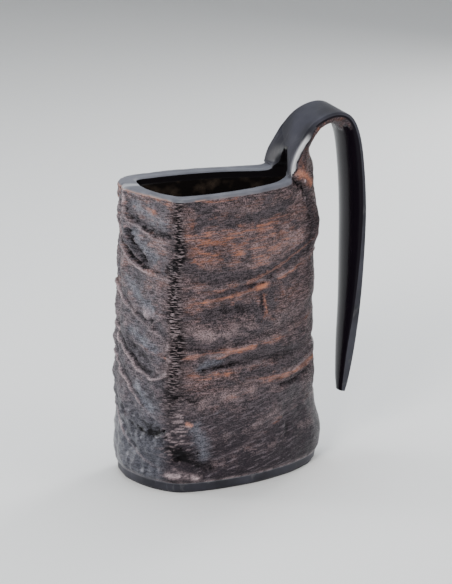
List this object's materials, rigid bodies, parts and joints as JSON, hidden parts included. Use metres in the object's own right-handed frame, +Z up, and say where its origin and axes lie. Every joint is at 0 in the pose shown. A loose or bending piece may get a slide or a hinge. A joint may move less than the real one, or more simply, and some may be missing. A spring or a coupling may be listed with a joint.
{
  "type": "horn drinking mug",
  "caption": "Mug made from one cow horn: flattened square-fronted body, closed by a base plug, its tip bent over the rim and hanging beside the wall as a strap handle.",
  "frame": {"origin": "on the base plug's underside, level with the horn's foot, in the handle's bending plane and about the middle of the body", "axes": "+Z up along the body, +X towards the handle, -Y towards the side with the body's front corner"},
  "size_m": [0.1234, 0.0656, 0.1811],
  "materials": {
    "horn": "natural cow horn: rough dark brown bark outside, satin grey where it is sawn at the rim and handle",
    "plug_wood": "dark stained, oiled",
    "sealant": "cured amber sealant",
    "lacquer": "glossy black"
  },
  "bodies": {
    "root": {"horn_shell": "horn", "base_plug": "plug_wood", "seal_bead": "sealant", "inner_lining": "lacquer"}
  },
  "joints": []
}
